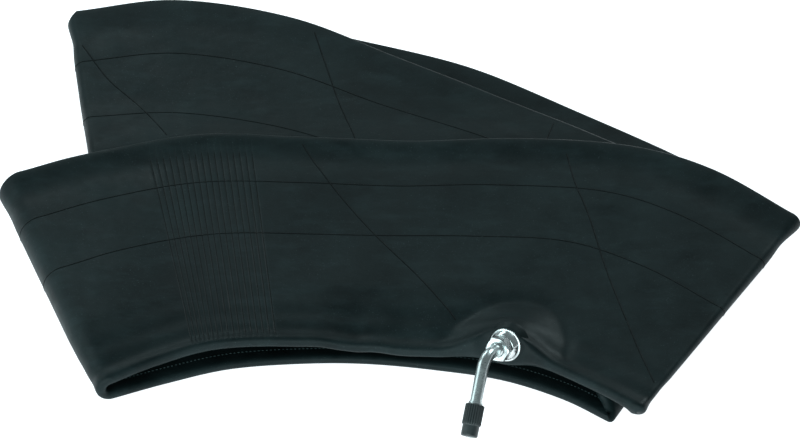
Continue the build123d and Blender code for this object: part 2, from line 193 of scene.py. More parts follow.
# ---- valve -------------------------------------------------------------------------------------------
VALVE_SEAT = np.array([59.35, 50.8, 27.0])
SPUD_AXIS = np.array([-0.435, -0.80, 0.412])
TIP_AXIS = np.array([-0.195, -0.734, -0.649])
PLATE_DEPTH = 5.6
SPUD_RADIUS = 3.95
SPUD_END = 13.4
PIPE_RADIUS = 3.5
BORE_RADIUS = 1.6
BEND_CORNER = 27.2
BEND_RADIUS = 12.0
TIP_LENGTH = 42.3
THREAD_RADIUS = 3.87
THREAD_LENGTH = 12.0
THREAD_PITCH = 0.794
THREAD_DEPTH = 0.36
SLACK = 0.06  # running clearance of the nut, washer and cap
COLLAR_RADIUS = 4.15  # the stem's collar, just behind the cap
COLLAR_WIDTH = 1.2
CHAMBER_RADIUS = 2.66
CHAMBER_DEPTH = 21.0
CAP_LENGTH = 18.5
CAP_MOUTH = -14.9
CAP_ROOF = 2.0
CAP_RIBS = 24
CAP_GRIP = 12.0  # length of the ribbed part
CAP_GRIP_RADIUS = 4.95
CAP_RIB_HEIGHT = 0.5
CAP_PLAIN_RADIUS = 4.85
CAP_ROUNDING = 1.0
NUT_FLATS = 13.0
NUT_BACK = 4.95
NUT_HEIGHT = 6.4
NUT_STEPS = 144
NUT_FACE = 0.985  # radius of the turned face, as a share of half the flats
NUT_CHAMFER_RUN = 1.75
NUT_LEAD_IN = 0.45
SEAT_SINK = -0.3  # the rubber's surface under the washer, from the seat
SEAT_RADIUS = 10.0
SKIRT_REACH = 19.0  # the rubber is drawn to the seat inside this radius
SKIRT_FALL = 0.03
SKIRT_HOLD = 3.0  # the rubber nearer than this to the seat's plane comes all the way
SKIRT_DEPTH = 10.0  # and beyond this it stays


def unit(v):
    return v / np.linalg.norm(v)


def to_frame(points):
    """Drawing millimetres to the frame's metres."""
    return (np.asarray(points) - CENTRE) * MM


def through(points, share):
    """Smooth line through evenly counted points; share is an array from 0 to 1."""
    table = np.array(points, float)
    table = np.concatenate([[2 * table[0] - table[1]], table, [2 * table[-1] - table[-2]]])
    place = np.clip(np.asarray(share, float), 0, 1) * (len(points) - 1)
    i = np.minimum(place.astype(int), len(points) - 2)
    u = (place - i)[..., None] if table.ndim > 1 else place - i
    a, b, c, d = table[i], table[i + 1], table[i + 2], table[i + 3]
    return 0.5 * (2 * b + (c - a) * u + (2 * a - 5 * b + 4 * c - d) * u**2 + (3 * b - a - 3 * c + d) * u**3)


def smooth(x):
    x = np.clip(x, 0, 1)
    return x * x * (3 - 2 * x)


def axes_for(axis, side):
    axis = unit(axis)
    x = unit(side - axis * side.dot(axis))
    return x, np.cross(axis, x), axis


SPUD = unit(SPUD_AXIS)
TIP_DIRECTION = unit(TIP_AXIS)
SPUD_X, SPUD_Y, _ = axes_for(SPUD, TIP_DIRECTION)
CORNER = VALVE_SEAT + SPUD * BEND_CORNER
TIP = CORNER + TIP_DIRECTION * TIP_LENGTH
TIP_X, TIP_Y, _ = axes_for(TIP_DIRECTION, np.array([1.0, 0, 0]))


def edge_profile(w, edge, valley):
    """Half thickness across the width: rounded ridges at both edges with a shallow valley behind."""
    inset = np.minimum(w, 1 - w) * WIDTH
    ridge = np.exp(-((inset / EDGE_WIDTH) ** 2))
    dip = np.exp(-(((inset - VALLEY_INSET) / VALLEY_WIDTH) ** 2))
    return WEB_HALF + (edge - WEB_HALF) * ridge - valley * dip


def sink(x, y):
    """How far the two middle plies have sunk to the ground behind the bottom ply."""
    edge = SINK_EDGE - SINK_EDGE_CURVE * np.maximum(0, x - SINK_EDGE_CURVE_FROM) ** 2
    return SINK_DEPTH * smooth((y - edge) / SINK_REACH)


def rib_warp(t):
    """Share along the rim edge that belongs to a share along the tread edge of the top ply."""
    return np.interp(t, [0, *RIB_BAND_TREAD, RIB_WARP_END, 1], [0, *RIB_BAND_RIM, RIB_WARP_END, 1])


def rib_groove(t, w):
    """Depth of the cross ribs' grooves at a place on the top ply: deeper towards the rim edge."""
    start, end = RIB_BAND_TREAD
    count = (t - start) / (end - start) * (RIBS - 1)
    inside = (count > -0.5) & (count < RIBS - 0.5)
    wave = 0.5 + 0.5 * np.cos(2 * np.pi * count)
    deeper = smooth((w - RIB_DEEPEN_FROM) / RIB_DEEPEN_OVER)
    fade = smooth(w / RIB_TREAD_FADE) * smooth((1 - w) / RIB_RIM_FADE)
    fade = fade * (RIB_TREAD_DEPTH + (1 - RIB_TREAD_DEPTH) * deeper)
    return np.where(inside, RIB_DEPTH * wave**RIB_SHARPNESS * fade, 0.0)


class Ply:
    """One ply of the folded tube: its surface is a function of share along, share across and side."""

    def __init__(self, tread, rim, level, kind):
        self.tread, self.rim, self.level, self.kind = tread, rim, level, kind

    def edges(self, t):
        rim_t = rib_warp(t) if self.kind == "top" else t
        return through(self.tread, t), through(self.rim, rim_t)

    def swell(self, t):
        return np.exp(-(((t - VALVE_SHARE) / SWELL_SPREAD) ** 2))

    def middle(self, t, w):
        """Middle surface between the two walls."""
        tread, rim = self.edges(t)
        flat = tread + (rim - tread) * w[..., None]
        z = np.full(w.shape, float(self.level))
        if self.kind == "middle":
            z = z - sink(flat[..., 0], flat[..., 1])
        if self.kind == "top":
            fall = LEVELS[3] - through(TOP_RIM_LEVELS, t)
            z = z - fall * np.maximum(0, (w - DROOP_FROM) / (1 - DROOP_FROM)) ** DROOP_CURVE
            z = z + self.waves(t, w)
        return np.concatenate([flat, z[..., None]], -1)

    def waves(self, t, w):
        """Slow unevenness of the top ply, with lumps along its rim edge."""
        hold = smooth(t / WAVE_START) * smooth((1 - t) / WAVE_END)
        wave = WAVE_MEAN
        for height, along, across, phase in SLOW_WAVES:
            wave = wave + height * np.sin(along * t + across * w + phase)
        near_middle = np.exp(-(((t - LUMP_AT) / LUMP_SPREAD) ** 2))
        near_rim = smooth((w - LUMP_FROM) / LUMP_FADE)
        lumps = np.sin(LUMP_RATE * t + LUMP_PHASE) * near_middle * near_rim
        return hold * (np.maximum(wave, 0) * WAVE_HEIGHT + LUMP_HEIGHT * np.maximum(lumps, LUMP_LOWEST))

    def dome(self, t, w):
        """Height of the dome around the valve, with the hollow around its foot."""
        along = (t - VALVE_SHARE) / np.where(t < VALVE_SHARE, DOME_LEFT, DOME_RIGHT)
        away = np.hypot(along, (1 - w) / DOME_ACROSS)
        rise = np.cos(np.pi / 2 * np.minimum(away, 1)) ** DOME_CURVE
        hollow = np.exp(-(((away - 1.0) / DOME_RIM_WIDTH) ** 2)) * smooth((1 - w) / DOME_RIM_FADE)
        return SWELL_UP * rise - DOME_RIM_VALLEY * hollow

    def pressed(self, t, side):
        """1 where this side's edge is pressed on the next ply, beside a fold; 0 further away."""
        at_start = smooth(1 - t / CONTACT_SHARE)
        at_end = smooth(1 - (1 - t) / CONTACT_SHARE)
        if self.kind == "top":
            return at_end if side < 0 else 0 * t
        if self.kind == "bottom":
            return at_start if side > 0 else 0 * t
        return at_start if side > 0 else at_end

    def half(self, t, w, side):
        """Distance from the middle surface to the upper (side 1) or lower (side -1) skin."""
        reach_out = PLY_PITCH / 2 - EDGE_HALF - CONTACT_GAP
        contact = reach_out * smooth((w - CONTACT_FROM) / CONTACT_BLEND) * self.pressed(t, side)
        if self.kind == "bottom":
            skin = 2 * edge_profile(w, EDGE_HALF, PLAIN_VALLEY / 2) - EDGE_HALF
            return np.full(w.shape, EDGE_HALF) if side < 0 else skin + contact
        if self.kind == "middle":
            return edge_profile(w, EDGE_HALF, PLAIN_VALLEY) + contact
        if side > 0:
            inset = (1 - w) * WIDTH
            hollow = np.where(w < 0.5, TOP_VALLEY, 0.0)
            wave = np.cos(2 * np.pi * inset / RIM_RIPPLE_PITCH) - 1
            skin = edge_profile(w, EDGE_HALF + TOP_EDGE_RISE, hollow)
            skin = skin + RIM_RIPPLE * wave * np.exp(-inset / RIM_RIPPLE_REACH)
            return skin + self.dome(t, w) - rib_groove(t, w)
        reach = np.maximum(0, 1 - (1 - w) / SWELL_ACROSS)
        return edge_profile(w, EDGE_HALF, UNDER_VALLEY) + SWELL_DOWN * self.swell(t) * reach + contact

    def out(self, t):
        """How far the rounded rim edge stands out from the rim edge line."""
        return EDGE_HALF + (SWELL_OUT * self.swell(t) if self.kind == "top" else 0.0)


top = Ply(TOP_TREAD, TOP_RIM, LEVELS[3], "top")
second = Ply(SECOND_TREAD, SECOND_RIM, LEVELS[2], "middle")
third = Ply(THIRD_TREAD, THIRD_RIM, LEVELS[1], "middle")
bottom = Ply(BOTTOM_TREAD, BOTTOM_RIM, LEVELS[0], "bottom")

# ---- rows across the tube ------------------------------------------------------------------------
ACROSS = np.unique(np.concatenate([
    np.linspace(0, 0.14, 15),
    np.linspace(0.14, 0.76, 22),
    np.linspace(0.76, 1, 26),
]))
ROUND = np.radians(np.linspace(0, 180, 13)[1:-1])


def ply_rows(ply, stations, first_side):
    """Closed cross sections of a ply; the section starts on the ribbon's first side."""
    rows = []
    for t in stations:
        w = ACROSS
        share = np.full(w.shape, t)
        middle = ply.middle(share, w)
        one = ply.half(share, w, first_side)
        other = ply.half(share, w, -first_side)
        out = UP * first_side
        square = (float(ply.pressed(t, first_side)), float(ply.pressed(t, -first_side)))
        rows.append(section(middle, out, one, other, float(ply.out(t)), square))
    return rows


def section(middle, out, one, other, rim_round, square):
    """Loop of points: first side from tread to rim, round the rim edge, back, round the tread edge."""
    across = unit((middle[-1] - middle[0]) * np.array([1, 1, 0]))
    one_power = 1 - CONTACT_SQUARE * square[0]
    other_power = 1 - CONTACT_SQUARE * square[1]
    first_half = np.cos(ROUND) > 0
    rim_height = np.where(first_half, one[-1], other[-1]) * np.cos(ROUND)
    rim_reach = rim_round * np.sin(ROUND) ** np.where(first_half, one_power, other_power)
    tread_height = np.where(first_half, other[0], one[0]) * -np.cos(ROUND)
    return np.concatenate([
        middle + out * one[:, None],
        middle[-1] + across * rim_reach[:, None] + out * rim_height[:, None],
        middle[::-1] - out * other[::-1, None],
        middle[0] - across * (EDGE_HALF * np.sin(ROUND))[:, None] + out * tread_height[:, None],
    ])


def fold_rows(upper, lower, t_upper, t_lower, outward, from_upper, outer_first, steps, corner=0.0):
    """Cross sections around a fold between two plies; corner is how far its tread edge is drawn in."""
    w = ACROSS
    shares = np.full(w.shape, t_upper), np.full(w.shape, t_lower)
    high = upper.middle(shares[0], w)
    low = lower.middle(shares[1], w)
    radius = (high - low)[:, 2] / 2
    along = unit((high[-1] - high[0]) * np.array([1, 1, 0]))
    away = np.array([outward, 0.0, 0.0])
    away = unit(away - along * away.dot(along))
    closed = upper.pressed(t_upper, -1)
    rows = []
    for step in range(1, steps):
        turn = math.pi * step / steps
        if from_upper:
            turn = math.pi - turn
        mix = (1 - math.cos(turn)) / 2
        radial = -UP * math.cos(turn) + away * math.sin(turn)
        centre = mix * high + (1 - mix) * low
        centre[:, 2] = (high + low)[:, 2] / 2
        drawn_in = corner * math.sin(turn) * (1 - w) ** CORNER_CURVE
        middle = centre + radial * radius[:, None] + along * drawn_in[:, None]
        out = radial if outer_first else -radial
        outer = mix * upper.half(shares[0], w, 1) + (1 - mix) * lower.half(shares[1], w, -1)
        inner = mix * upper.half(shares[0], w, -1) + (1 - mix) * lower.half(shares[1], w, 1)
        one, other = (outer, inner) if outer_first else (inner, outer)
        square = (0.0, closed) if outer_first else (closed, 0.0)
        rows.append(section(middle, out, one, other, EDGE_HALF, square))
    return rows


def stations_along_top():
    """Even stations, with close ones over the ribs and around the valve."""
    base = np.linspace(0, 1, 121)
    start, end = RIB_BAND_TREAD
    step = (end - start) / (RIBS - 1)
    ribs = np.arange(start - 0.7 * step, end + 0.71 * step, step / 12)
    valve = np.linspace(VALVE_SHARE - 0.13, VALVE_SHARE + 0.13, 79)
    free = base[(base < ribs[0] - 0.002) | (base > ribs[-1] + 0.002)]
    free = free[(free < valve[0] - 0.002) | (free > valve[-1] + 0.002)]
    return np.unique(np.concatenate([free, ribs, valve]))


def mesh_object(name, points, faces, smooth_angle=None):
    """A mesh from drawing points and face index lists."""
    mesh = bpy.data.meshes.new(name)
    mesh.from_pydata(to_frame(points).tolist(), [], faces)
    mesh.validate()
    mesh.update()
    obj = bpy.data.objects.new(name, mesh)
    bpy.context.scene.collection.objects.link(obj)
    for polygon in mesh.polygons:
        polygon.use_smooth = True
    if smooth_angle is not None:
        mark_sharp(mesh, math.radians(smooth_angle))
    return obj


def mark_sharp(mesh, angle):
    """Edges that turn by more than the angle stay sharp."""
    work = bmesh.new()
    work.from_mesh(mesh)
    for edge in work.edges:
        if len(edge.link_faces) == 2 and edge.calc_face_angle(0) > angle:
            edge.smooth = False
    work.to_mesh(mesh)
    work.free()


def grid_faces(rows, columns, close_rows, close_columns, start=0):
    """Quads of a grid of points, row after row."""
    faces = []
    for i in range(rows if close_rows else rows - 1):
        for j in range(columns if close_columns else columns - 1):
            a = start + i * columns + j
            b = start + i * columns + (j + 1) % columns
            c = start + ((i + 1) % rows) * columns + (j + 1) % columns
            d = start + ((i + 1) % rows) * columns + j
            faces.append((a, b, c, d))
    return faces


EVEN = np.linspace(0, 1, 91)  # stations along each of the other plies
ALONG_TOP = stations_along_top()


def tube_rows():
    """Cross sections around the whole ring, and the row at which each ply and fold starts."""
    parts = [
        ("top", ply_rows(top, ALONG_TOP, 1)),
        ("right_fold", fold_rows(top, second, 1, 0, 1, True, True, 16)),
        ("second", ply_rows(second, EVEN, -1)),
        ("back_fold", fold_rows(second, third, 1, 0, -1, True, False, 16, BACK_CORNER)),
        ("third", ply_rows(third, EVEN, 1)),
        ("low_fold", fold_rows(third, bottom, 1, 0, 1, True, True, 16)),
        ("bottom", ply_rows(bottom, EVEN, -1)),
        ("left_fold", fold_rows(top, bottom, 0, 1, -1, False, True, 24, LEFT_CORNER)),
    ]
    rows, starts = [], {}
    for name, more in parts:
        starts[name] = len(rows)
        rows += more
    return np.array(rows), starts


def grid_normals(grid):
    """Outward normals of a closed grid of cross sections."""
    along = np.roll(grid, -1, 0) - np.roll(grid, 1, 0)
    around = np.roll(grid, -1, 1) - np.roll(grid, 1, 1)
    normal = np.cross(along, around)
    normal /= np.linalg.norm(normal, axis=2)[..., None] + 1e-12
    return normal if normal[len(ALONG_TOP) // 2, len(ACROSS) // 2, 2] > 0 else -normal


def settle_at_valve(grid):
    """Brings the rubber around the valve up to the washer's seat, as one smooth skirt."""
    away = grid - VALVE_SEAT
    height = away @ SPUD
    radius = np.linalg.norm(away - height[..., None] * SPUD, axis=2)
    target = SEAT_SINK - SKIRT_FALL * np.maximum(0, radius - SEAT_RADIUS) ** 2
    share = smooth((SKIRT_REACH - radius) / (SKIRT_REACH - SEAT_RADIUS))
    share = share * smooth((SKIRT_DEPTH - np.abs(height)) / (SKIRT_DEPTH - SKIRT_HOLD))
    return grid + (share * (target - height))[..., None] * SPUD


def on_grid(grid, rows, shares, front):
    """Points of a grid at row numbers and shares across, on the section's first or second side."""
    column = np.interp(shares, ACROSS, np.arange(len(ACROSS)))
    if not front:
        column = len(ACROSS) + len(ROUND) + len(ACROSS) - 1 - column
    count = len(grid)
    row = np.floor(rows).astype(int)
    step = (rows - row)[:, None]
    col = np.floor(column).astype(int)
    slide = (column - col)[:, None]
    near = grid[row % count, col] * (1 - slide) + grid[row % count, col + 1] * slide
    far = grid[(row + 1) % count, col] * (1 - slide) + grid[(row + 1) % count, col + 1] * slide
    return near * (1 - step) + far * step


def bead(line, normal, width, height):
    """A low moulded ridge that follows a line on the rubber; height is a number or one for each point."""
    along = np.gradient(line, axis=0)
    along /= np.linalg.norm(along, axis=1)[:, None]
    side = np.cross(normal, along)
    side /= np.linalg.norm(side, axis=1)[:, None]
    ends = np.minimum(np.arange(len(line)), np.arange(len(line))[::-1])
    crest = (np.minimum(1, ends / BEAD_TAPER) * height)[:, None]
    ring = []
    for angle in np.radians(np.linspace(0, 180, 7)):
        lift = crest * math.sin(angle) - BEAD_SINK
        ring.append(line + side * (width / 2 * math.cos(angle)) + normal * lift)
    ring.append(line - normal * 3 * BEAD_SINK)
    points = np.stack(ring, 1)
    rows, columns = points.shape[:2]
    faces = grid_faces(rows, columns, False, True)
    faces.append(tuple(range(columns))[::-1])
    faces.append(tuple(range((rows - 1) * columns, rows * columns)))
    return points.reshape(-1, 3), faces


def moulded_lines(grid, starts):
    """Beads for the lines along the tube, the ribs' grooves and the skew lines; the seam's bead."""
    normals = grid_normals(grid)
    count = len(grid)

    def lay(rows, shares, front, width, height):
        line = on_grid(grid, rows, shares, front)
        normal = on_grid(normals, rows, shares, front)
        normal /= np.linalg.norm(normal, axis=1)[:, None]
        return bead(line, normal, width, height)

    beads = []
    around = np.arange(-BEAD_TAPER, count + BEAD_TAPER + 1, 1.0)
    for share in LINE_SHARES:
        for front in (True, False):
            beads.append(lay(around, np.full(around.shape, share), front, LINE_WIDTH, LINE_HEIGHT))
    down = np.linspace(*RIB_LINE_ENDS, 60)
    start, end = RIB_BAND_TREAD
    for station in np.linspace(start, end, RIBS):
        row = np.full(down.shape, np.interp(station, ALONG_TOP, np.arange(len(ALONG_TOP))))
        beads.append(lay(row, down, True, RIB_LINE_WIDTH, RIB_LINE_HEIGHT))
    even_rows = np.arange(len(EVEN))
    skews = [(TOP_SKEW_LINES, starts["top"], ALONG_TOP, np.arange(len(ALONG_TOP)), True)]
    skews.append((SECOND_SKEW_LINES, starts["second"], EVEN, even_rows, False))
    skews.append((BOTTOM_SKEW_LINES, starts["bottom"], EVEN, even_rows, False))
    at = np.linspace(0, 1, SKEW_POINTS)
    for lines, start, stations, rows, front in skews:
        for along, across in lines:
            place = np.interp(through(along, at), stations, rows) + start
            beads.append(lay(place, through(across, at), front, LINE_WIDTH, LINE_HEIGHT))
    fine = np.linspace(*SEAM_ENDS, SEAM_POINTS)
    rows = np.interp(fine, EVEN, even_rows) + starts["bottom"]
    seam_shares = np.full(fine.shape, SEAM_SHARE)
    steps = np.diff(on_grid(grid, rows, seam_shares, False), axis=0)
    walked = np.cumsum(np.linalg.norm(steps, axis=1))
    stitch = SEAM_MEAN + SEAM_SWING * np.cos(2 * np.pi * np.concatenate([[0], walked]) / SEAM_STITCH)
    seam = lay(rows, seam_shares, False, SEAM_WIDTH, SEAM_HEIGHT * smooth(stitch))
    return beads, seam


# ---- materials -----------------------------------------------------------------------------------
STREAK_STRETCH = (11, 27, 27)
WORN_LIGHTER = 2.2
DUST = (0.07, 0.105, 0.108)
SCUFF = 0.1  # how far the roughness varies
RUBBER_SPECULAR = 0.12
STAIN_DARKER = 0.8
PLASTIC_LIGHTER = 1.7


def new_material(name):
    material = bpy.data.materials.new(name)
    material.use_nodes = True
    tree = material.node_tree
    shader = tree.nodes["Principled BSDF"]
    return material, tree, shader


def add(tree, kind, **values):
    """A node with its input sockets set by name."""
    node = tree.nodes.new(kind)
    for key, value in values.items():
        node.inputs[key].default_value = value
    return node


def noise(tree, coords, scale, detail=4.0, roughness=0.55):
    node = add(tree, "ShaderNodeTexNoise", Scale=scale, Detail=detail, Roughness=roughness)
    tree.links.new(coords, node.inputs["Vector"])
    return node.outputs["Fac"]


def ramp(tree, source, stops):
    """Colour ramp from (position, colour) stops."""
    node = tree.nodes.new("ShaderNodeValToRGB")
    elements = node.color_ramp.elements
    while len(elements) < len(stops):
        elements.new(0.5)
    for element, (position, colour) in zip(elements, stops):
        element.position = position
        element.color = (*colour, 1.0)
    tree.links.new(source, node.inputs["Fac"])
    return node.outputs["Color"]


def map_range(tree, source, span, to):
    """The source's span of values, spread over another span."""
    node = tree.nodes.new("ShaderNodeMapRange")
    node.inputs["From Min"].default_value, node.inputs["From Max"].default_value = span
    node.inputs["To Min"].default_value, node.inputs["To Max"].default_value = to
    tree.links.new(source, node.inputs["Value"])
    return node.outputs["Result"]


def mix_colour(tree, factor, base, colour):
    """The base with one plain colour over it, where the factor is high."""
    node = tree.nodes.new("ShaderNodeMix")
    node.data_type = "RGBA"
    tree.links.new(factor, node.inputs[0])
    tree.links.new(base, node.inputs[6])
    node.inputs[7].default_value = (*colour, 1.0)
    return node.outputs[2]


def bump(tree, height, strength, distance, normal=None):
    node = add(tree, "ShaderNodeBump", Strength=strength, Distance=distance)
    tree.links.new(height, node.inputs["Height"])
    if normal is not None:
        tree.links.new(normal, node.inputs["Normal"])
    return node.outputs["Normal"]


def object_coords(tree, stretch=(1, 1, 1)):
    coords = tree.nodes.new("ShaderNodeTexCoord")
    mapping = tree.nodes.new("ShaderNodeMapping")
    mapping.inputs["Scale"].default_value = stretch
    tree.links.new(coords.outputs["Object"], mapping.inputs["Vector"])
    return mapping.outputs["Vector"]


def rubber(name, dark, light, rough):
    """Moulded butyl rubber: cloudy colour, rubbed streaks, faint dust specks, a fine grain."""
    material, tree, shader = new_material(name)
    coords = object_coords(tree)
    cloud = noise(tree, coords, scale=22.0, detail=8.0, roughness=0.68)
    base = ramp(tree, cloud, [(0.34, dark), (0.66, light)])
    streaks = noise(tree, object_coords(tree, STREAK_STRETCH), scale=3.2, detail=7.0, roughness=0.68)
    worn = [c * WORN_LIGHTER for c in light]
    streaked = mix_colour(tree, map_range(tree, streaks, (0.5, 0.8), (0.0, 0.4)), base, worn)
    dust = noise(tree, coords, scale=1300.0, detail=2.0, roughness=0.5)
    where = noise(tree, coords, scale=30.0, detail=4.0, roughness=0.6)
    specks = tree.nodes.new("ShaderNodeMath")
    specks.operation = "MULTIPLY"
    tree.links.new(map_range(tree, dust, (0.66, 0.76), (0.0, 1.0)), specks.inputs[0])
    tree.links.new(map_range(tree, where, (0.35, 0.7), (0.1, 0.7)), specks.inputs[1])
    dusty = mix_colour(tree, specks.outputs[0], streaked, DUST)
    tree.links.new(dusty, shader.inputs["Base Color"])
    scuff = noise(tree, coords, scale=45.0, detail=7.0, roughness=0.68)
    scuffed = map_range(tree, scuff, (0.3, 0.7), (rough - SCUFF, rough + SCUFF))
    tree.links.new(scuffed, shader.inputs["Roughness"])
    shader.inputs["Specular IOR Level"].default_value = RUBBER_SPECULAR
    grain = noise(tree, coords, scale=1400.0, detail=2.0, roughness=0.5)
    coarse = noise(tree, coords, scale=120.0, detail=5.0, roughness=0.6)
    normal = bump(tree, grain, strength=0.12, distance=0.0002)
    normal = bump(tree, coarse, strength=0.16, distance=0.0008, normal=normal)
    tree.links.new(normal, shader.inputs["Normal"])
    return material


def plated(name, colour, rough, brushed=True):
    """Plated or turned metal: fine turning marks, small stains and slightly duller patches."""
    material, tree, shader = new_material(name)
    coords = object_coords(tree)
    cloud = noise(tree, coords, scale=220.0, detail=5.0, roughness=0.6)
    base = ramp(tree, cloud, [(0.3, [c * STAIN_DARKER for c in colour]), (0.65, colour)])
    tree.links.new(base, shader.inputs["Base Color"])
    shader.inputs["Metallic"].default_value = 1.0
    marks = noise(tree, coords, scale=900.0, detail=4.0, roughness=0.6)
    marked = map_range(tree, marks, (0.3, 0.7), (rough * 0.94, rough * 1.08))
    tree.links.new(marked, shader.inputs["Roughness"])
    if brushed:
        brush = noise(tree, coords, scale=1500.0, detail=3.0, roughness=0.6)
        normal = bump(tree, brush, strength=0.06, distance=0.0001)
        tree.links.new(normal, shader.inputs["Normal"])
    return material


def moulded_plastic(name, colour):
    """Moulded black plastic: a soft gloss and a fine texture."""
    material, tree, shader = new_material(name)
    coords = object_coords(tree)
    cloud = noise(tree, coords, scale=160.0, detail=4.0, roughness=0.55)
    base = ramp(tree, cloud, [(0.3, colour), (0.72, [c * PLASTIC_LIGHTER for c in colour])])
    tree.links.new(base, shader.inputs["Base Color"])
    marks = noise(tree, coords, scale=500.0, detail=4.0, roughness=0.6)
    tree.links.new(map_range(tree, marks, (0.3, 0.7), (0.36, 0.52)), shader.inputs["Roughness"])
    texture = noise(tree, coords, scale=1800.0, detail=3.0, roughness=0.6)
    normal = bump(tree, texture, strength=0.1, distance=0.0001)
    tree.links.new(normal, shader.inputs["Normal"])
    return material


tube_rubber = rubber("tube_rubber", (0.0044, 0.0088, 0.0095), (0.0114, 0.0198, 0.021), 0.48)
# Near-black rubber for the moulded lines and the ribs' groove lines: painted shade, so that they read as
# shaded grooves
line_shade_rubber = rubber("line_shade_rubber", (0.0018, 0.0034, 0.0038), (0.0032, 0.0056, 0.006), 0.6)
# Much lighter rubber for the mould's seam: partly dust, partly painted light, so that the seam shows in the
# shade under the top ply
seam_dust_and_light_rubber = rubber("seam_dust_and_light_rubber", (0.03, 0.048, 0.05), (0.05, 0.075, 0.078), 0.5)
pad_rubber = rubber("pad_rubber", (0.0064, 0.0115, 0.0122), (0.0095, 0.0165, 0.0176), 0.46)
seal_rubber = rubber("seal_rubber", (0.012, 0.012, 0.012), (0.02, 0.02, 0.02), 0.6)
stem_nickel = plated("stem_nickel", (0.70, 0.75, 0.75), 0.28, brushed=False)
washer_nickel = plated("washer_nickel", (0.76, 0.80, 0.80), 0.2, brushed=False)
nut_nickel = plated("nut_nickel", (0.68, 0.72, 0.72), 0.2, brushed=False)
brass = plated("turned_brass", (0.72, 0.52, 0.25), 0.26)
spring_steel = plated("spring_steel", (0.55, 0.55, 0.56), 0.3)
cap_plastic = moulded_plastic("cap_plastic", (0.012, 0.017, 0.018))


def finish_piece(obj, material, slot, body, *nodes):
    obj.data.materials.clear()
    obj.data.materials.append(material)
    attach(obj, body)
    if nodes:
        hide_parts(*nodes)


# ---- the tube's mesh -----------------------------------------------------------------------------
def make_tube():
    """The flattened, folded tube with its ribs, and the moulded lines and seam that lie on it."""
    grid, starts = tube_rows()
    grid = settle_at_valve(grid)
    tube = mesh_object("inner_tube", grid.reshape(-1, 3), grid_faces(*grid.shape[:2], True, True))
    finish_piece(tube, tube_rubber, "tube_rubber", "tube", "tube_body")
    points, faces, count = [], [], 0
    beads, seam = moulded_lines(grid, starts)
    for more, more_faces in beads:
        faces += [tuple(i + count for i in face) for face in more_faces]
        points.append(more)
        count += len(more)
    # the lines get the near-black rubber, which paints shade along them
    lines = mesh_object("moulded_lines", np.concatenate(points), faces)
    finish_piece(lines, line_shade_rubber, "tube_rubber", "tube")
    # the seam's lighter rubber is partly dust and partly painted light
    finish_piece(mesh_object("mould_seam", *seam), seam_dust_and_light_rubber, "tube_rubber", "tube")


# ---- lathe and sweep helpers for the valve -------------------------------------------------------
def lathe(profile, origin, x, y, axis, steps=96):
    """Turned shape: profile is a list of (radius, height)."""
    profile = np.array(profile, float)
    angles = np.linspace(0, 2 * math.pi, steps, endpoint=False)
    ring = np.cos(angles)[:, None, None] * x + np.sin(angles)[:, None, None] * y
    points = origin + ring * profile[None, :, 0, None] + axis * profile[None, :, 1, None]
    return points.reshape(-1, 3), grid_faces(steps, len(profile), True, True)


def arc(centre_r, centre_h, radius, start, end, steps=6):
    """Points of a rounded corner in a (radius, height) profile."""
    turn = np.radians(np.linspace(start, end, steps))
    return [(centre_r + radius * math.cos(a), centre_h + radius * math.sin(a)) for a in turn]


def make_pad():
    """Moulded pad under the washer, spread into the tube's swelling."""
    profile = [(SPUD_RADIUS, -PLATE_DEPTH), (12.4, -PLATE_DEPTH), (12.2, -4.6)]
    profile += [(11.6, -3.2), (11.0, -1.8)] + arc(9.6, -1.0, 1.0, 20, 90) + [(SPUD_RADIUS, -0.02)]
    points, faces = lathe(profile, VALVE_SEAT, SPUD_X, SPUD_Y, SPUD)
    pad = mesh_object("valve_pad", points, faces, 50)
    finish_piece(pad, pad_rubber, "patch_rubber", "tube", "valve_patch")


def make_washer():
    """Dished washer: a rolled rim, a conical wall and a flat top with the bore."""
    bore = SPUD_RADIUS + SLACK
    profile = [(8.4, 0.0)] + arc(9.05, 0.45, 0.45, -90, 90, 9)
    profile += [(8.75, 0.95), (8.55, 1.6), (8.1, 2.9), (7.5, 3.9)] + arc(6.5, 4.1, 0.8, 30, 90)
    profile += [(bore + 0.2, 4.9), (bore, 4.75), (bore, 4.0), (6.0, 4.0), (6.9, 3.2), (7.6, 1.6)]
    points, faces = lathe(profile, VALVE_SEAT, SPUD_X, SPUD_Y, SPUD, 128)
    washer = mesh_object("dished_washer", points, faces, 40)
    finish_piece(washer, washer_nickel, "washer_nickel", "washer", "rim_washer")


def make_nut():
    """Hexagon nut: flats with the curved runs that a turned chamfer leaves."""
    angles = np.linspace(0, 2 * math.pi, NUT_STEPS, endpoint=False)
    flat = NUT_FLATS / 2 / np.cos((angles + math.pi / 6) % (math.pi / 3) - math.pi / 6)
    heights = np.concatenate([
        np.linspace(0, 0.9, 7),
        np.linspace(1.1, NUT_HEIGHT - 1.1, 5),
        np.linspace(NUT_HEIGHT - 0.9, NUT_HEIGHT, 7),
    ])
    rows = []
    for height in heights:
        inset = min(height, NUT_HEIGHT - height)
        limit = NUT_FLATS / 2 * NUT_FACE + inset * NUT_CHAMFER_RUN
        rows.append((np.minimum(flat, limit), NUT_BACK + height))
    bore = SPUD_RADIUS + SLACK
    top_face = NUT_BACK + NUT_HEIGHT
    rows.append((np.full(NUT_STEPS, bore + NUT_LEAD_IN), top_face))
    rows.append((np.full(NUT_STEPS, bore), top_face - NUT_LEAD_IN))
    rows.append((np.full(NUT_STEPS, bore), NUT_BACK + NUT_LEAD_IN))
    rows.append((np.full(NUT_STEPS, bore + NUT_LEAD_IN), NUT_BACK))
    ring = np.cos(angles)[:, None] * SPUD_X + np.sin(angles)[:, None] * SPUD_Y
    rings = [VALVE_SEAT + ring * radius[:, None] + SPUD * height for radius, height in rows]
    points = np.concatenate(rings)
    faces = [face[::-1] for face in grid_faces(len(rows), NUT_STEPS, True, True)]
    nut = mesh_object("hex_nut", points, faces, 28)
    finish_piece(nut, nut_nickel, "valve_nickel", "nut", "rim_nut")


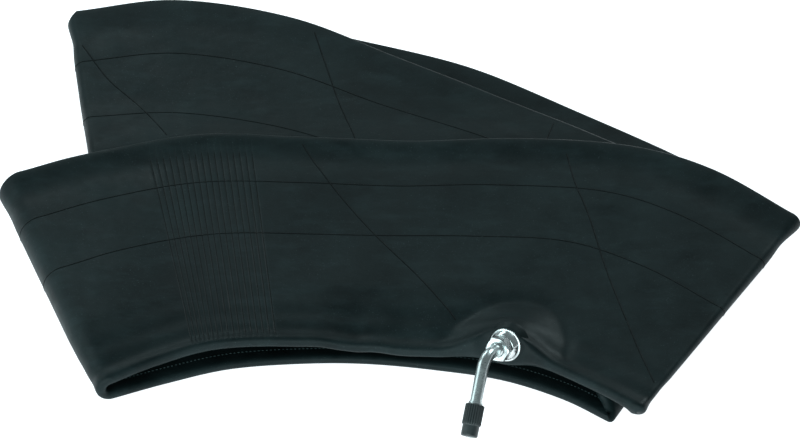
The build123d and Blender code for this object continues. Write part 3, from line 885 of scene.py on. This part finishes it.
def stem_path():
    """Stations along the bent stem: point, direction and distance from the tube's end."""
    turn = math.acos(SPUD.dot(TIP_DIRECTION))
    tangent = BEND_RADIUS * math.tan(turn / 2)
    straight = BEND_CORNER - tangent + PLATE_DEPTH
    bend = BEND_RADIUS * turn
    last = TIP_LENGTH - tangent
    start = VALVE_SEAT - SPUD * PLATE_DEPTH
    bend_start = start + SPUD * straight
    centre = bend_start + SPUD_X * BEND_RADIUS
    spud_end = PLATE_DEPTH + SPUD_END
    total = straight + bend + last
    thread_start = total - THREAD_LENGTH - 0.5
    stations = np.unique(np.concatenate([
        np.linspace(0, spud_end - 4, 12),
        np.arange(spud_end - 4, spud_end + 0.3, 0.09),
        np.linspace(spud_end + 0.3, total - 18, 70),
        np.linspace(total - 18, thread_start, 30),
        np.arange(thread_start, total, 0.1),
        [total],
    ]))
    places = []
    for s in stations:
        if s <= straight:
            places.append((start + SPUD * s, SPUD, SPUD_X, s))
        elif s <= straight + bend:
            a = (s - straight) / BEND_RADIUS
            direction = SPUD * math.cos(a) + SPUD_X * math.sin(a)
            side = SPUD_X * math.cos(a) - SPUD * math.sin(a)
            places.append((centre - side * BEND_RADIUS, direction, side, s))
        else:
            side = SPUD_X * math.cos(turn) - SPUD * math.sin(turn)
            point = CORNER + TIP_DIRECTION * (s - straight - bend + tangent)
            places.append((point, TIP_DIRECTION, side, s))
    return places, spud_end, total


def make_stem():
    """Bent stem with cut threads at the spud and the tip, bored through."""
    places, spud_end, total = stem_path()
    steps = 64
    angles = np.linspace(0, 2 * math.pi, steps, endpoint=False)
    collar_top = total + CAP_MOUTH - 0.3
    rows = []
    for point, direction, side, s in places:
        other = np.cross(direction, side)
        ring = np.cos(angles)[:, None] * side + np.sin(angles)[:, None] * other
        phase = (s / THREAD_PITCH - angles / (2 * math.pi)) % 1.0
        cut = THREAD_DEPTH * (1 - np.abs(2 * phase - 1))
        if s < spud_end:
            radius = SPUD_RADIUS - 0.02 - cut * min(1, (spud_end - s) / 0.4 + 0.3)
        elif s > total - THREAD_LENGTH:
            radius = THREAD_RADIUS - cut - max(0, 0.5 - (total - s))
        elif abs(s - collar_top + COLLAR_WIDTH / 2) < COLLAR_WIDTH / 2:
            radius = np.full(steps, COLLAR_RADIUS)
        else:
            neck = math.exp(-(s - spud_end) / 0.5) * 0.3 if s < spud_end + 3 else 0.0
            radius = np.full(steps, PIPE_RADIUS + neck)
        rows.append(point + ring * radius[:, None])
    for point, direction, side, s in reversed(places[::4] + places[-1:]):
        other = np.cross(direction, side)
        ring = np.cos(angles)[:, None] * side + np.sin(angles)[:, None] * other
        inner = CHAMBER_RADIUS if s > total - CHAMBER_DEPTH else BORE_RADIUS
        rows.append(point + ring * inner)
    points = np.concatenate(rows)
    faces = [face[::-1] for face in grid_faces(len(rows), steps, True, True)]
    stem = mesh_object("bent_stem", points, faces, 32)
    finish_piece(stem, stem_nickel, "valve_nickel", "tube", "valve_stem")


def make_cap():
    """Screw cap: fine rounded ribs over the open end, a plain end with a rounded roof."""
    steps = CAP_RIBS * 10
    angles = np.linspace(0, 2 * math.pi, steps, endpoint=False)
    rib = np.abs(np.cos(angles * CAP_RIBS / 2)) ** 1.3
    grip_end = CAP_MOUTH + CAP_GRIP
    end = CAP_MOUTH + CAP_LENGTH
    grip = CAP_GRIP_RADIUS
    plain = CAP_PLAIN_RADIUS
    # each section: height, radius and the ribs' height
    sections = [(CAP_MOUTH, 4.55, 0.3), (CAP_MOUTH + 0.25, 4.8, 0.55)]
    sections += [(CAP_MOUTH + 0.7, grip, CAP_RIB_HEIGHT)]
    sections += [(h, grip, CAP_RIB_HEIGHT) for h in np.linspace(CAP_MOUTH + 1.5, grip_end - 0.6, 8)]
    sections += [(grip_end - 0.25, 4.92, 0.3), (grip_end, 4.88, 0.0), (grip_end + 0.3, plain, 0.0)]
    sections += [(h, plain, 0.0) for h in np.linspace(grip_end + 1, end - 1.2, 4)]
    for a in np.radians([15, 30, 45, 60, 75, 90]):
        height = end - CAP_ROUNDING + CAP_ROUNDING * math.sin(a)
        sections.append((height, plain - CAP_ROUNDING + CAP_ROUNDING * math.cos(a), 0.0))
    sections += [(end - 0.1, 2.2, 0.0), (end - 0.1, 0.02, 0.0)]
    inner = THREAD_RADIUS + SLACK
    roof = end - CAP_ROOF
    sections += [(roof, 0.02, 0.0), (roof, inner - 0.3, 0.0), (roof - 0.3, inner, 0.0)]
    sections += [(CAP_MOUTH + 0.5, inner, 0.0), (CAP_MOUTH, inner + 0.35, 0.0)]
    ring = np.cos(angles)[:, None] * TIP_X + np.sin(angles)[:, None] * TIP_Y
    rows = []
    for height, radius, lift in sections:
        rows.append(TIP + ring * (radius + lift * rib)[:, None] + TIP_DIRECTION * height)
    points = np.concatenate(rows)
    faces = [face[::-1] for face in grid_faces(len(rows), steps, True, True)]
    cap = mesh_object("ribbed_cap", points, faces, 40)
    finish_piece(cap, cap_plastic, "cap_plastic", "cap", "valve_cap")


def paint_hidden_nodes():
    """The sealed inner pieces keep their CAD meshes and get real finishes."""
    finishes = {
        "base_plate": brass,
        "cap_seal": seal_rubber,
        "core_housing": brass,
        "core_barrel": brass,
        "core_barrel_seal": seal_rubber,
        "core_pin": brass,
        "core_spring": spring_steel,
        "core_cup": brass,
        "core_cup_seal": seal_rubber,
    }
    for node, material in finishes.items():
        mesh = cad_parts[node].data
        if not mesh.materials:
            mesh.materials.append(material)
        for i in range(len(mesh.materials)):
            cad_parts[node].material_slots[i].material = material


# ---- floor, light and camera ---------------------------------------------------------------------
FLOOR_SIZE = 4.0
STUDIO_TINT = (0.79, 0.98, 1.0)
SOFT_BOXES = (  # name, place, aim, size, power
    ("back", (-0.5, 1.2, 0.85), (0, 0, 0), (0.9, 0.5), 4.5),
    ("back_right", (0.8, 1.0, 0.7), (0.05, 0, 0), (0.6, 0.45), 6.2),
    ("left", (-1.1, 0.1, 0.7), (-0.1, 0, 0), (1.1, 0.9), 5.5),
    ("front", (-0.5, -1.3, 0.42), (-0.05, 0, 0), (2.0, 0.7), 18.0),
)
CAMERA_ELEVATION = 43.0
CAMERA_LENS = 700.0
CAMERA_TARGET = Vector((0.0008, -0.0027, 0.010))
SENSOR_WIDTH = 36.0
VIEW_WIDTH = 0.456


def make_floor():
    """Plain pale floor, just under the tube."""
    mesh = bpy.data.meshes.new("floor")
    corners = [(x * FLOOR_SIZE, y * FLOOR_SIZE, 0) for x, y in ((-1, -1), (1, -1), (1, 1), (-1, 1))]
    mesh.from_pydata(corners, [], [(0, 1, 2, 3)])
    floor = bpy.data.objects.new("floor", mesh)
    bpy.context.scene.collection.objects.link(floor)
    floor.location.z = -0.0003
    material, _tree, shader = new_material("pale_floor")
    shader.inputs["Base Color"].default_value = (0.92, 0.93, 0.94, 1)
    shader.inputs["Roughness"].default_value = 0.9
    shader.inputs["Specular IOR Level"].default_value = 0.0
    shader.inputs["Emission Color"].default_value = (0.94, 0.97, 1.0, 1)
    shader.inputs["Emission Strength"].default_value = 0.95
    mesh.materials.append(material)


def soft_box(name, place, aim, size, power):
    light = bpy.data.lights.new(name, "AREA")
    light.shape = "RECTANGLE"
    light.size, light.size_y = size
    light.energy = power
    light.color = STUDIO_TINT
    obj = bpy.data.objects.new(name, light)
    bpy.context.scene.collection.objects.link(obj)
    obj.location = place
    obj.rotation_euler = (Vector(aim) - Vector(place)).to_track_quat("-Z", "Y").to_euler()


def make_light():
    """An even pale surround and four soft boxes."""
    world = bpy.data.worlds.new("studio")
    world.use_nodes = True
    background = world.node_tree.nodes["Background"]
    background.inputs["Color"].default_value = (0.80, 0.97, 1.0, 1)
    background.inputs["Strength"].default_value = 0.19
    bpy.context.scene.world = world
    for box in SOFT_BOXES:
        soft_box(*box)


def make_camera():
    """A long lens in front of the bundle, looking down at it."""
    elevation = math.radians(CAMERA_ELEVATION)
    distance = VIEW_WIDTH * CAMERA_LENS / SENSOR_WIDTH
    camera = bpy.data.cameras.new("camera")
    camera.lens = CAMERA_LENS
    camera.sensor_width = SENSOR_WIDTH
    camera.clip_end = 30.0
    obj = bpy.data.objects.new("camera", camera)
    bpy.context.scene.collection.objects.link(obj)
    back_up = Vector((0, -math.cos(elevation), math.sin(elevation)))
    obj.location = CAMERA_TARGET + back_up * distance
    obj.rotation_euler = (CAMERA_TARGET - obj.location).to_track_quat("-Z", "Y").to_euler()
    bpy.context.scene.camera = obj


make_camera()
make_light()
make_floor()
make_tube()
make_pad()
make_washer()
make_nut()
make_stem()
make_cap()
paint_hidden_nodes()
bpy.context.scene.view_settings.view_transform = "Standard"
